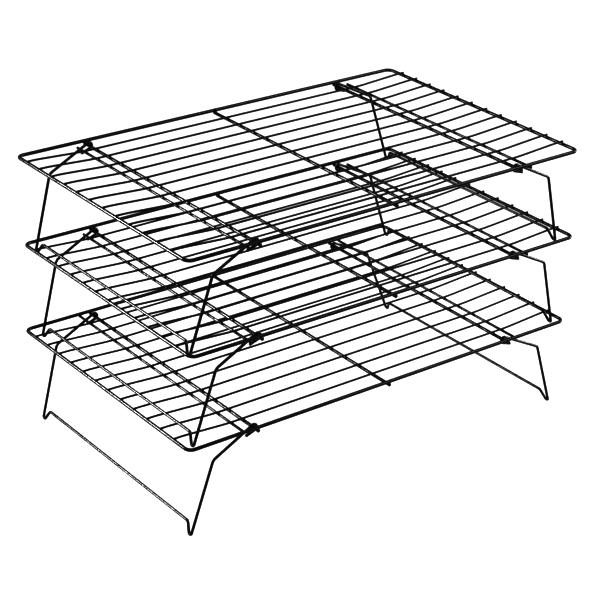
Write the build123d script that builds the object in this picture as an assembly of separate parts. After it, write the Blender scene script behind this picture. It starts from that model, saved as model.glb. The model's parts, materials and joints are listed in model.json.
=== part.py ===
from build123d import *
from math import asin, atan2, cos, hypot, radians, sin, tan
import os

# A stack of three cooling racks made of welded round wire.  Each tier is a flat grid on two
# folding wire legs, and each upper tier stands on the tier below it.
# +X runs along the racks' length, +Y to the rear and +Z up.
# The origin is on the floor, under the middle of the stack.

# ---------------------------------------------------------------- wire diameters, mm
FRAME_WIRE = 3.1
HINGE_WIRE = 3.0
CENTRE_WIRE = 3.0
STOP_WIRE = 2.4
LONG_WIRE = 1.85
LEG_WIRE = 2.5

# ---------------------------------------------------------------- the grid, mm
FRAME_LENGTH = 403.0
FRAME_DEPTH = 257.0
FRAME_CORNER_RADIUS = 6.0
LONG_WIRE_COUNT = 12
FIRST_LONG_WIRE_INSET = 20.0
LONG_WIRE_OVERHANG = 1.1
HINGE_WIRE_INSET = 66.3
STOP_WIRE_OUTBOARD = 11.0
CROSS_WIRE_OVERHANG = 1.3
STOP_WIRE_SHORT_BY = 5.5
WELD_DEPTH = 0.25

# Each long wire lies low on the cross wires, and climbs onto the end wires over this stretch.
RISE_START_INSET = 51.5
RISE_END_INSET = 6.5
RISE_BEND_RADIUS = 190.0

# ---------------------------------------------------------------- the leg, mm
# Corners of the leg's centre line, outwards and down from the hinge wire's axis.
KNEE_OUT = 39.3
FOOT_OUT = 59.4
FOOT_DROP = 87.3
CROSSBAR_DROP = 74.1
# The same corners, sideways from the middle of the rack.
KNEE_SIDE = 122.5
FOOT_SIDE = 118.0
CROSSBAR_SIDE = 110.0
# The bottom right leg has been bent further open than the others, so its feet stand further out.
OPENED_KNEE_OUT = 42.0
OPENED_FOOT_OUT = 67.4
# Bends of the centre line.
HOOK_BEND_RADIUS = 2.6
KNEE_BEND_RADIUS = 6.0
FOOT_BEND_RADIUS = 2.0
CROSSBAR_BEND_RADIUS = 3.0
# The hook runs round the hinge wire, and its tail leans back towards the leg to keep it on.
HINGE_CLEARANCE = 0.05
STOP_CLEARANCE = 0.08
HOOK_TAIL = 9.5
HOOK_TAIL_LEAN = 9.0

# ---------------------------------------------------------------- the stack
STACKING_CLEARANCE = 0.45
END_ROUNDING = 0.3
# The bottom tier stands turned half a turn, so its stop wires stop short at the front.
TIERS = ["bottom", "middle", "top"]
TURNED_TIERS = ["bottom"]
# The middle tier sits a little to the right of the other two, within its feet's play.
TIER_X = {"bottom": -1.5, "middle": 1.5, "top": -1.5}
SIDES = {"left": -1, "right": 1}

# ---------------------------------------------------------------- heights within a tier, mm
# These are measured from the plane of the frame wire's centre line.
HINGE_WIRE_Z = WELD_DEPTH - (FRAME_WIRE + HINGE_WIRE) / 2
CROSS_WIRE_TOP = HINGE_WIRE_Z + HINGE_WIRE / 2
CENTRE_WIRE_Z = CROSS_WIRE_TOP - CENTRE_WIRE / 2
STOP_WIRE_Z = CROSS_WIRE_TOP - STOP_WIRE / 2
LONG_WIRE_LOW_Z = CROSS_WIRE_TOP + LONG_WIRE / 2 - WELD_DEPTH
LONG_WIRE_HIGH_Z = (FRAME_WIRE + LONG_WIRE) / 2 - WELD_DEPTH

# ---------------------------------------------------------------- places within a tier, mm
END_WIRE_X = FRAME_LENGTH / 2
SIDE_WIRE_Y = FRAME_DEPTH / 2
HINGE_WIRE_X = END_WIRE_X - HINGE_WIRE_INSET
STOP_WIRE_X = HINGE_WIRE_X + STOP_WIRE_OUTBOARD
RISE_START_X = END_WIRE_X - RISE_START_INSET
RISE_END_X = END_WIRE_X - RISE_END_INSET


def bent_wire(path, diameter):
    """A round wire along a path, with its two cut ends slightly rounded."""
    section = Plane(origin=path @ 0, z_dir=path % 0) * Circle(diameter / 2)
    wire = sweep(section, path=path)
    cut_edges = [edge for face in wire.faces().filter_by(GeomType.PLANE) for edge in face.edges()]
    return fillet(cut_edges, END_ROUNDING)


def cross_wire(x, z, rear_y, front_y, diameter):
    """A straight wire across the rack, from the rear to the front."""
    return bent_wire(Line((x, rear_y, z), (x, front_y, z)), diameter)


def frame_loop():
    """The heavy wire bent into a rectangle, its ends butt-welded together."""
    outline = RectangleRounded(FRAME_LENGTH, FRAME_DEPTH, FRAME_CORNER_RADIUS).face().outer_wire()
    section = Plane(origin=outline @ 0, z_dir=outline % 0) * Circle(FRAME_WIRE / 2)
    return sweep(section, path=outline)


def long_wire(y):
    """A thin wire along the rack, low in the middle and lying on the end wires at its ends."""
    half = [
        Vector(END_WIRE_X + LONG_WIRE_OVERHANG, y, LONG_WIRE_HIGH_Z),
        Vector(RISE_END_X, y, LONG_WIRE_HIGH_Z),
        Vector(RISE_START_X, y, LONG_WIRE_LOW_Z),
    ]
    other_half = [Vector(-point.X, point.Y, point.Z) for point in reversed(half)]
    return bent_wire(FilletPolyline(*half, *other_half, radius=RISE_BEND_RADIUS), LONG_WIRE)


def long_wire_z(x):
    """Height of a long wire's centre line on its climb, within a tier."""
    climb = (LONG_WIRE_HIGH_Z - LONG_WIRE_LOW_Z) / (RISE_END_X - RISE_START_X)
    return LONG_WIRE_HIGH_Z - climb * (RISE_END_X - x)


def long_wire_places():
    """The long wires' places across the rack, from the rear to the front."""
    first = SIDE_WIRE_Y - FIRST_LONG_WIRE_INSET
    pitch = 2 * first / (LONG_WIRE_COUNT - 1)
    return [first - pitch * index for index in range(LONG_WIRE_COUNT)]


def leg_slope():
    """Angle of the arm that runs over the hinge wire and under the stop wire, in radians."""
    over_hinge = (HINGE_WIRE + LEG_WIRE) / 2 + HINGE_CLEARANCE
    under_stop = (STOP_WIRE + LEG_WIRE) / 2 + STOP_CLEARANCE
    rise = STOP_WIRE_Z - HINGE_WIRE_Z
    between_wires = hypot(STOP_WIRE_OUTBOARD, rise)
    return asin((over_hinge + under_stop) / between_wires) - atan2(rise, STOP_WIRE_OUTBOARD)


def leg_corners(knee_out=KNEE_OUT, foot_out=FOOT_OUT):
    """Corners of the rear half of a right leg's centre line, from the hook's tail to the crossbar."""
    slope = leg_slope()
    along = Vector(cos(slope), 0, -sin(slope))
    above = Vector(sin(slope), 0, cos(slope))
    reach = (HINGE_WIRE + LEG_WIRE) / 2 + HINGE_CLEARANCE
    lean = radians(HOOK_TAIL_LEAN)
    side = Vector(0, KNEE_SIDE, 0)
    tail = along * HOOK_TAIL + above * ((HOOK_TAIL * sin(lean) - reach) / cos(lean)) + side
    hook_bottom = along * -reach - above * (reach * (1 + sin(lean)) / cos(lean)) + side
    hook_top = along * -reach + above * reach + side

    knee_drop = knee_out * tan(slope) - reach / cos(slope)
    splay = (foot_out - knee_out) / (FOOT_DROP - knee_drop)
    crossbar_out = knee_out + (CROSSBAR_DROP - knee_drop) * splay
    knee = Vector(knee_out, KNEE_SIDE, -knee_drop)
    foot = Vector(foot_out, FOOT_SIDE, -FOOT_DROP)
    crossbar = Vector(crossbar_out, CROSSBAR_SIDE, -CROSSBAR_DROP)
    return [tail, hook_bottom, hook_top, knee, foot, crossbar]


def leg_path(**bends):
    """Centre line of a right leg, about the hinge wire's axis."""
    half = leg_corners(**bends)
    other_half = [Vector(corner.X, -corner.Y, corner.Z) for corner in reversed(half)]
    hook_radii = [HOOK_BEND_RADIUS, HOOK_BEND_RADIUS]
    radii = hook_radii + [KNEE_BEND_RADIUS, FOOT_BEND_RADIUS, CROSSBAR_BEND_RADIUS]
    return FilletPolyline(*half, *other_half, radius=radii + radii[::-1])


def leg(**bends):
    """A right leg in place within its tier: one wire with two hooks, two feet and a crossbar."""
    return Pos(HINGE_WIRE_X, 0, HINGE_WIRE_Z) * bent_wire(leg_path(**bends), LEG_WIRE)


def tier_levels():
    """Heights of the three frames' centre lines above the floor."""
    crossbar_x = HINGE_WIRE_X + leg_corners()[-1].X
    crossbar_on_long_wire = long_wire_z(crossbar_x) + (LONG_WIRE + LEG_WIRE) / 2 + STACKING_CLEARANCE
    spacing = crossbar_on_long_wire + CROSSBAR_DROP - HINGE_WIRE_Z
    bottom = -leg_path().bounding_box().min.Z + LEG_WIRE / 2 - HINGE_WIRE_Z
    return [bottom + spacing * index for index in range(len(TIERS))]


def tier_parts():
    """Every piece of one tier, with its frame centred on the origin."""
    through = SIDE_WIRE_Y + CROSS_WIRE_OVERHANG
    short = SIDE_WIRE_Y - STOP_WIRE_SHORT_BY
    parts = {"frame_loop": frame_loop()}
    for index, y in enumerate(long_wire_places()):
        parts[f"long_wire_{index + 1:02d}"] = long_wire(y)
    parts["centre_wire"] = cross_wire(0, CENTRE_WIRE_Z, through, -through, CENTRE_WIRE)
    right_leg = leg()
    for name, side in SIDES.items():
        hinge_x = side * HINGE_WIRE_X
        stop_x = side * STOP_WIRE_X
        parts[f"{name}_hinge_wire"] = cross_wire(hinge_x, HINGE_WIRE_Z, through, -through, HINGE_WIRE)
        parts[f"{name}_stop_wire"] = cross_wire(stop_x, STOP_WIRE_Z, short, -through, STOP_WIRE)
        parts[f"{name}_leg"] = right_leg if side > 0 else Rot(0, 0, 180) * right_leg
    return parts


def turned_name(name):
    """A piece's name once its tier has been turned half a turn."""
    if name.startswith("left"):
        return name.replace("left", "right")
    if name.startswith("right"):
        return name.replace("right", "left")
    if name.startswith("long_wire"):
        return f"long_wire_{LONG_WIRE_COUNT + 1 - int(name[-2:]):02d}"
    return name


def build():
    """Place the three tiers and write every piece to its own file."""
    os.makedirs("parts", exist_ok=True)
    parts = tier_parts()
    opened_leg = leg(knee_out=OPENED_KNEE_OUT, foot_out=OPENED_FOOT_OUT)
    for tier, level in zip(TIERS, tier_levels()):
        turned = tier in TURNED_TIERS
        place = Pos(TIER_X[tier], 0, level) * Rot(0, 0, 180 if turned else 0)
        for name, piece in parts.items():
            node = f"{tier}_{turned_name(name) if turned else name}"
            placed = place * piece
            if node == "bottom_right_leg":
                placed = Pos(TIER_X[tier], 0, level) * opened_leg
            placed.label = node
            export_step(placed, f"parts/{node}.step")


build()
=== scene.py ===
import json
import math
import bpy
from mathutils import Matrix, Quaternion, Vector


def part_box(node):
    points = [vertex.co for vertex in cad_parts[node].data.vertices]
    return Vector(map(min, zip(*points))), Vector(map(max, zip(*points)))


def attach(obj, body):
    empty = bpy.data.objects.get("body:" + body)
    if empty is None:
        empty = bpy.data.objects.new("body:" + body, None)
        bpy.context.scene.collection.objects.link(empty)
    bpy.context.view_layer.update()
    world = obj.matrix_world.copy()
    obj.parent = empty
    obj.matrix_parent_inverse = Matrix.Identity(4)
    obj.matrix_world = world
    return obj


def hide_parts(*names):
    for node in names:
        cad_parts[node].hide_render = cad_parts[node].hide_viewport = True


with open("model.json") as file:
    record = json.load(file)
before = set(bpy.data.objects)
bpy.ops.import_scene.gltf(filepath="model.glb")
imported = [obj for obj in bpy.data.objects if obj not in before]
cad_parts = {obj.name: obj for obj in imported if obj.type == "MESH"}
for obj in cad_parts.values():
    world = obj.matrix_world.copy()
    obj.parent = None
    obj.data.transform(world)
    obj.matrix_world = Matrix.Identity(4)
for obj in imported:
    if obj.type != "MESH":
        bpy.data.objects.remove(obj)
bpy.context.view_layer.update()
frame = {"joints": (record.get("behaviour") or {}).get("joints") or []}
joints = {joint["name"]: joint for joint in frame["joints"]}

MM = 0.001
TIERS = ("bottom", "middle", "top")
SIDES = (("left", -1), ("right", 1))
LONG_WIRE_COUNT = 12

# wire radii
FRAME_R = 1.55 * MM
CROSS_R = 1.5 * MM
STOP_R = 1.2 * MM
LONG_R = 0.925 * MM
LEG_R = 1.25 * MM
END_ROUNDING = 0.3 * MM

# the long wires' climb onto the end wires, measured inwards from an end wire
RISE_START = 51.5 * MM
RISE_END = 6.5 * MM
RISE_BEND = 190 * MM
FRAME_CORNER = 6 * MM

# the butt weld at the rear middle of each frame
SEAM_SWELL = 0.13 * MM
SEAM_REACH = 1.6 * MM
SEAM_STEP = 0.4 * MM
SEAM_STEPS = 9
SEAM_CLEAR = 5 * MM

# half-sizes of the coating pools: beyond the wires they join, and their height
HEAVY_POOL_MARGIN = 0.3 * MM
HEAVY_POOL_HEIGHT = 0.75 * MM
THIN_POOL_MARGIN = 0.05 * MM
THIN_POOL_SIDE_MARGIN = 0.3 * MM
THIN_POOL_HEIGHT = 0.55 * MM
POOL_TURNS = 12
POOL_LEVELS = 6

# the leg's centre line, outwards, sideways and up from the hinge wire's axis
LEG_CORNERS = (
    (7.82, 122.5, -5.55),
    (-3.99, 122.5, -1.62),
    (-1.20, 122.5, 3.77),
    (39.3, 122.5, -17.22),
    (59.4, 118.0, -87.3),
    (55.61, 110.0, -74.1),
)
LEG_BENDS = (2.6, 2.6, 6.0, 2.0, 3.0)
# the bottom right leg is bent further open
OPENED_LEG = "bottom_right_leg"
OPENED_CORNERS = LEG_CORNERS[:3] + ((42.0, 122.5, -18.62), (67.4, 118.0, -87.3), (62.52, 110.0, -74.1))

# mesh detail
ARC_STEP = math.radians(9)
FRAME_SIDES = 28
HEAVY_SIDES = 24
THIN_SIDES = 20
SHORT_RUN = 30 * MM
LONG_RUN = 40 * MM
SHARP_ANGLE = math.radians(50)


# ------------------------------------------------------------------ camera
def add_camera():
    right = Vector((0.796414, -0.604374, 0.021369))
    up = Vector((0.246714, 0.356963, 0.900950))
    back = right.cross(up)
    data = bpy.data.cameras.new("photo_camera")
    data.sensor_fit = "HORIZONTAL"
    data.sensor_width = 36.0
    data.lens = 114.97
    data.shift_x = -0.0272
    data.shift_y = -0.0076
    data.clip_start = 0.01
    data.clip_end = 60.0
    data.dof.use_dof = False
    camera = bpy.data.objects.new("photo_camera", data)
    axes = Matrix((right, up, back)).transposed().to_4x4()
    camera.matrix_world = Matrix.Translation((-0.91972, -1.21063, 0.84715)) @ axes
    bpy.context.scene.collection.objects.link(camera)
    bpy.context.scene.camera = camera


# ------------------------------------------------------------------ wire shapes
def rounded(corners, bends):
    """Points along a line with round bends: one bend radius for each inner corner."""
    corners = [Vector(corner) for corner in corners]
    points = [corners[0]]
    for before, corner, after, bend in zip(corners, corners[1:], corners[2:], bends):
        into = (corner - before).normalized()
        out = (after - corner).normalized()
        turn = into.angle(out)
        reach = bend * math.tan(turn / 2)
        start = corner - into * reach
        centre = start + (out - into * into.dot(out)).normalized() * bend
        axis = into.cross(out).normalized()
        steps = max(2, math.ceil(turn / ARC_STEP))
        for step in range(steps + 1):
            points.append(centre + Quaternion(axis, turn * step / steps) @ (start - centre))
    points.append(corners[-1])
    return points


def along(points, spacing):
    """The same line with extra points on its long runs."""
    dense = [points[0]]
    for a, b in zip(points, points[1:]):
        count = max(1, math.ceil((b - a).length / spacing))
        dense += [a.lerp(b, step / count) for step in range(1, count + 1)]
    return dense


def tube(points, radius, sides=HEAVY_SIDES, closed=False):
    """Vertices and faces of a round wire. radius is a number, or a function of a point."""
    size = radius if callable(radius) else lambda point: radius
    count = len(points)
    rings = []
    normal = None
    previous = None
    for index, point in enumerate(points):
        ahead = points[(index + 1) % count] if closed or index < count - 1 else point
        behind = points[index - 1] if closed or index > 0 else point
        tangent = ((ahead - point).normalized() + (point - behind).normalized()).normalized()
        if normal is None:
            normal = tangent.orthogonal().normalized()
        else:
            normal = (previous.rotation_difference(tangent) @ normal).normalized()
        previous = tangent
        rings.append((point, tangent, normal.copy(), size(point)))
    if not closed:
        rings = rounded_end(rings[0], -1) + rings[1:-1] + rounded_end(rings[-1], 1)
    verts = []
    for point, tangent, side, r in rings:
        other = tangent.cross(side)
        for step in range(sides):
            angle = 2 * math.pi * step / sides
            verts.append(point + (side * math.cos(angle) + other * math.sin(angle)) * r)
    faces = []
    last = len(rings) if closed else len(rings) - 1
    for ring in range(last):
        a = ring * sides
        b = (ring + 1) % len(rings) * sides
        for step in range(sides):
            nxt = (step + 1) % sides
            faces.append((a + step, a + nxt, b + nxt, b + step))
    if closed:
        return verts, seam_matched(verts, faces, sides)
    faces.append(tuple(reversed(range(sides))))
    faces.append(tuple(range((len(rings) - 1) * sides, len(rings) * sides)))
    return verts, faces


def rounded_end(ring, way):
    """A cut end's rings, from the flat of the cut round to the full wire, or the other way."""
    point, tangent, side, r = ring
    rings = []
    for degrees in (0, 30, 60, 90):
        angle = math.radians(degrees)
        back = END_ROUNDING * (1 - math.sin(angle))
        inset = END_ROUNDING * (1 - math.cos(angle))
        rings.append((point - tangent * way * back, tangent, side, r - inset))
    # at 0 degrees the ring is the full wire, and at 90 degrees the edge of the cut
    return rings if way > 0 else list(reversed(rings))


def seam_matched(verts, faces, sides):
    """Join a closed wire's last ring to the nearest points of its first ring."""
    last = len(verts) - sides
    shift = min(range(sides), key=lambda k: (verts[last] - verts[k]).length)
    kept = faces[:-sides]
    for step in range(sides):
        nxt = (step + 1) % sides
        kept.append((last + step, last + nxt, (nxt + shift) % sides, (step + shift) % sides))
    return kept


def make_piece(name, verts, faces, material, body, nodes=()):
    """A mesh that rides on a body and stands in for its CAD nodes."""
    mesh = bpy.data.meshes.new(name)
    mesh.from_pydata([tuple(v) for v in verts], [], faces)
    mesh.materials.append(material)
    mesh.shade_smooth()
    mesh.set_sharp_from_angle(angle=SHARP_ANGLE)
    mesh.update()
    piece = bpy.data.objects.new(name, mesh)
    bpy.context.scene.collection.objects.link(piece)
    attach(piece, body)
    if nodes:
        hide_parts(*nodes)
    return piece


# ------------------------------------------------------------------ materials
def mapped(tree, source, low, high, new_low, new_high):
    node = tree.nodes.new("ShaderNodeMapRange")
    node.inputs["From Min"].default_value = low
    node.inputs["From Max"].default_value = high
    node.inputs["To Min"].default_value = new_low
    node.inputs["To Max"].default_value = new_high
    tree.links.new(source, node.inputs["Value"])
    return node.outputs["Result"]


def noise(tree, place, scale, detail):
    node = tree.nodes.new("ShaderNodeTexNoise")
    node.inputs["Scale"].default_value = scale
    node.inputs["Detail"].default_value = detail
    tree.links.new(place, node.inputs["Vector"])
    return node.outputs["Fac"]


def coating(name, dark, light, rough_low, rough_high, specular, peel_size, peel_depth):
    """Baked-on black coating: a fine orange-peel surface, with slow changes of tone and gloss."""
    material = bpy.data.materials.new(name)
    material.use_nodes = True
    tree = material.node_tree
    shader = tree.nodes["Principled BSDF"]
    shader.inputs["Specular IOR Level"].default_value = specular
    place = tree.nodes.new("ShaderNodeTexCoord").outputs["Object"]
    tone = tree.nodes.new("ShaderNodeValToRGB")
    tone.color_ramp.elements[0].position = 0.35
    tone.color_ramp.elements[0].color = (*dark, 1)
    tone.color_ramp.elements[1].position = 0.7
    tone.color_ramp.elements[1].color = (*light, 1)
    tree.links.new(noise(tree, place, 55, 5), tone.inputs["Fac"])
    tree.links.new(tone.outputs["Color"], shader.inputs["Base Color"])
    gloss = mapped(tree, noise(tree, place, 240, 4), 0.3, 0.7, rough_low, rough_high)
    tree.links.new(gloss, shader.inputs["Roughness"])
    bump = tree.nodes.new("ShaderNodeBump")
    bump.inputs["Strength"].default_value = 0.6
    bump.inputs["Distance"].default_value = peel_depth
    tree.links.new(noise(tree, place, 1 / peel_size, 3), bump.inputs["Height"])
    tree.links.new(bump.outputs["Normal"], shader.inputs["Normal"])
    return material


def floor_material():
    material = bpy.data.materials.new("studio_floor")
    material.use_nodes = True
    tree = material.node_tree
    shader = tree.nodes["Principled BSDF"]
    shader.inputs["Specular IOR Level"].default_value = 0.0
    shader.inputs["Roughness"].default_value = 0.9
    place = tree.nodes.new("ShaderNodeTexCoord").outputs["Object"]
    tone = tree.nodes.new("ShaderNodeValToRGB")
    tone.color_ramp.elements[0].color = (0.165, 0.16, 0.15, 1)
    tone.color_ramp.elements[1].color = (0.175, 0.17, 0.16, 1)
    shader.inputs["Emission Color"].default_value = (0.98, 0.99, 1.0, 1)
    shader.inputs["Emission Strength"].default_value = 0.86
    tree.links.new(noise(tree, place, 3, 2), tone.inputs["Fac"])
    tree.links.new(tone.outputs["Color"], shader.inputs["Base Color"])
    return material


# ------------------------------------------------------------------ the grid
def box_of(node):
    low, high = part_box(node)
    return Vector(low), Vector(high)


def frame_outline(node):
    """Centre line of the rounded rectangle, and the height of its plane."""
    low, high = box_of(node)
    z = (low.z + high.z) / 2
    middle = (low.x + high.x) / 2
    left = low.x + FRAME_R
    right = high.x - FRAME_R
    y = high.y - FRAME_R
    corners = [(middle, y, z), (right, y, z), (right, -y, z), (left, -y, z), (left, y, z), (middle, y, z)]
    return rounded(corners, [FRAME_CORNER] * 4)[:-1]


def seam_swell(off):
    """How far the frame wire swells, at a distance along it from its butt weld."""
    return SEAM_SWELL * math.exp(-(off / SEAM_REACH) ** 2)


def frame_size(seam):
    """Radius of the frame wire, which swells a little at its butt weld."""
    def size(point):
        return FRAME_R + seam_swell((point - seam).length)
    return size


def long_wire_line(node, middle, half_length):
    """Centre line of a long wire, low in the middle and lying on the end wires at its ends."""
    low, high = box_of(node)
    y = (low.y + high.y) / 2
    top = high.z - LONG_R
    bottom = low.z + LONG_R
    overall = (high.x - low.x) / 2
    half = [(overall, top), (half_length - RISE_END, top), (half_length - RISE_START, bottom)]
    right = [(middle + x, y, z) for x, z in half]
    left = [(middle - x, y, z) for x, z in reversed(half)]
    return rounded(right + left, [RISE_BEND] * 4)


def cross_wire_line(node):
    low, high = box_of(node)
    x = (low.x + high.x) / 2
    z = (low.z + high.z) / 2
    return [Vector((x, low.y, z)), Vector((x, high.y, z))]


def weld(verts, faces, point, half_x, half_y, half_z):
    """A small pool of coating in the corners where two wires cross."""
    first = len(verts)
    for level in range(POOL_LEVELS + 1):
        lift = math.pi * (level / POOL_LEVELS - 0.5)
        for turn in range(POOL_TURNS):
            angle = 2 * math.pi * turn / POOL_TURNS
            out = max(math.cos(lift), 0.02)
            verts.append(point + Vector((
                half_x * out * math.cos(angle),
                half_y * out * math.sin(angle),
                half_z * math.sin(lift),
            )))
    for level in range(POOL_LEVELS):
        for turn in range(POOL_TURNS):
            nxt = (turn + 1) % POOL_TURNS
            a = first + level * POOL_TURNS
            b = a + POOL_TURNS
            faces.append((a + turn, a + nxt, b + nxt, b + turn))
    top = first + POOL_LEVELS * POOL_TURNS
    faces.append(tuple(reversed(range(first, first + POOL_TURNS))))
    faces.append(tuple(range(top, top + POOL_TURNS)))


def long_wire_height(out, half_length, low_z, high_z):
    """Height of a long wire's centre line at a distance from its middle."""
    share = (out - (half_length - RISE_START)) / (RISE_START - RISE_END)
    return low_z + (high_z - low_z) * min(max(share, 0), 1)


def build_grid(tier, thick, thin, pools):
    body = f"{tier}_grid"
    loop = f"{tier}_frame_loop"
    outline = along(frame_outline(loop), SHORT_RUN)
    seam = outline[0]
    offsets = [step * SEAM_STEP for step in range(-SEAM_STEPS, SEAM_STEPS + 1)]
    # the line moves in by the swell, so that the wire's outer side stays straight
    near = [seam + Vector((off, -seam_swell(off), 0)) for off in offsets]
    rest = [point for point in outline if (point - seam).length > SEAM_CLEAR]
    verts, faces = tube(near + rest, frame_size(seam), sides=FRAME_SIDES, closed=True)
    make_piece(f"{loop}_coated", verts, faces, thick, body, [loop])

    low, high = box_of(loop)
    middle = (low.x + high.x) / 2
    half_length = (high.x - low.x) / 2 - FRAME_R
    side_y = high.y - FRAME_R
    plane = (low.z + high.z) / 2
    weld_verts, weld_faces = [], []

    crossings = []
    for name, radius in [("centre_wire", CROSS_R)] + [
        (f"{side}_{kind}_wire", size)
        for side, _ in SIDES for kind, size in (("hinge", CROSS_R), ("stop", STOP_R))
    ]:
        node = f"{tier}_{name}"
        line = cross_wire_line(node)
        verts, faces = tube(along(line, LONG_RUN), radius)
        make_piece(f"{node}_coated", verts, faces, thick, body, [node])
        crossings.append((line[0].x, line[0].z, radius))
        for y in (side_y, -side_y):
            if line[0].y < y < line[1].y:
                contact = (line[0].z + radius + plane - FRAME_R) / 2
                weld(weld_verts, weld_faces, Vector((line[0].x, y, contact)),
                     radius + HEAVY_POOL_MARGIN, FRAME_R, HEAVY_POOL_HEIGHT)

    for index in range(1, LONG_WIRE_COUNT + 1):
        node = f"{tier}_long_wire_{index:02d}"
        line = long_wire_line(node, middle, half_length)
        verts, faces = tube(along(line, LONG_RUN), LONG_R, sides=THIN_SIDES)
        make_piece(f"{node}_coated", verts, faces, thin, body, [node])
        low, high = box_of(node)
        y = (low.y + high.y) / 2
        for x, z, radius in crossings:
            height = long_wire_height(abs(x - middle), half_length, low.z + LONG_R, high.z - LONG_R)
            contact = (z + radius + height - LONG_R) / 2
            weld(weld_verts, weld_faces, Vector((x, y, contact)),
                 radius + THIN_POOL_MARGIN, LONG_R + THIN_POOL_SIDE_MARGIN, THIN_POOL_HEIGHT)
        for x in (middle - half_length, middle + half_length):
            contact = (plane + FRAME_R + high.z - 2 * LONG_R) / 2
            weld(weld_verts, weld_faces, Vector((x, y, contact)),
                 FRAME_R, LONG_R + THIN_POOL_SIDE_MARGIN, THIN_POOL_HEIGHT)

    make_piece(f"{tier}_grid_welds", weld_verts, weld_faces, pools, body)


# ------------------------------------------------------------------ the legs
def leg_line(pivot, side, corners):
    """Centre line of a whole leg about its pivot, for a left leg (side -1) or a right one (1)."""
    half = [
        Vector((pivot.x + side * x * MM, y * MM, pivot.z + z * MM))
        for x, y, z in corners
    ]
    other = [Vector((corner.x, -corner.y, corner.z)) for corner in reversed(half)]
    bends = [bend * MM for bend in LEG_BENDS]
    return rounded(half + other, bends + bends[::-1])


def build_legs(tier, material):
    for name, side in SIDES:
        node = f"{tier}_{name}_leg"
        pivot = Vector(joints[f"{node}_fold"]["pos_m"])
        corners = OPENED_CORNERS if node == OPENED_LEG else LEG_CORNERS
        verts, faces = tube(along(leg_line(pivot, side, corners), SHORT_RUN), LEG_R)
        make_piece(f"{node}_coated", verts, faces, material, node, [node])


# ------------------------------------------------------------------ studio
def add_floor(material):
    half = 12.0
    mesh = bpy.data.meshes.new("studio_floor")
    corners = [(-half, -half, 0), (half, -half, 0), (half, half, 0), (-half, half, 0)]
    mesh.from_pydata(corners, [], [(0, 1, 2, 3)])
    mesh.materials.append(material)
    floor = bpy.data.objects.new("studio_floor", mesh)
    bpy.context.scene.collection.objects.link(floor)


def add_light(name, place, target, width, depth, power, spread=180):
    """An area light of a width and depth in metres, a power in watts and a spread in degrees."""
    data = bpy.data.lights.new(name, "AREA")
    data.spread = math.radians(spread)
    data.shape = "RECTANGLE"
    data.size = width
    data.size_y = depth
    data.energy = power
    lamp = bpy.data.objects.new(name, data)
    lamp.location = place
    aim = Vector(target) - Vector(place)
    lamp.rotation_euler = aim.to_track_quat("-Z", "Y").to_euler()
    bpy.context.scene.collection.objects.link(lamp)


def add_world():
    world = bpy.data.worlds.new("studio")
    world.use_nodes = True
    sky = world.node_tree.nodes["Background"]
    sky.inputs["Color"].default_value = (0.98, 0.99, 1.0, 1)
    sky.inputs["Strength"].default_value = 0.4
    bpy.context.scene.world = world


add_camera()
add_world()
add_floor(floor_material())
add_light("overhead_softbox", (-0.1, -0.1, 2.6), (0, 0, 0), 1.3, 1.3, 45)
add_light("rear_left_light", (-1.15, 1.15, 0.75), (-0.42, 0, 0.16), 0.4, 0.4, 12, 60)
add_light("right_softbox", (1.35, -1.0, 1.5), (0, 0, 0.12), 0.9, 0.6, 50)
add_light("low_right_light", (1.9, -0.6, 0.55), (0.15, 0, 0.15), 0.5, 0.5, 55)
add_light("front_softbox", (-0.9, -2.6, 2.4), (0, 0, 0), 1.6, 1.2, 40)

thick_wire = coating("thick_wire_coating", (0.004, 0.004, 0.0045), (0.008, 0.008, 0.009),
                     0.19, 0.26, 0.16, 0.0009, 0.000004)
thin_wire = coating("thin_wire_coating", (0.004, 0.004, 0.004), (0.007, 0.007, 0.008),
                    0.28, 0.40, 0.10, 0.0007, 0.000005)
leg_wire = coating("leg_wire_coating", (0.004, 0.004, 0.0045), (0.008, 0.008, 0.009),
                   0.18, 0.26, 0.16, 0.0009, 0.000004)
pooled = coating("weld_pool_coating", (0.003, 0.003, 0.003), (0.007, 0.007, 0.007),
                 0.28, 0.42, 0.25, 0.0005, 0.00003)

for tier in TIERS:
    build_grid(tier, thick_wire, thin_wire, pooled)
    build_legs(tier, leg_wire)

scene = bpy.context.scene
scene.view_settings.view_transform = "Standard"
scene.view_settings.look = "None"
scene.view_settings.gamma = 0.5
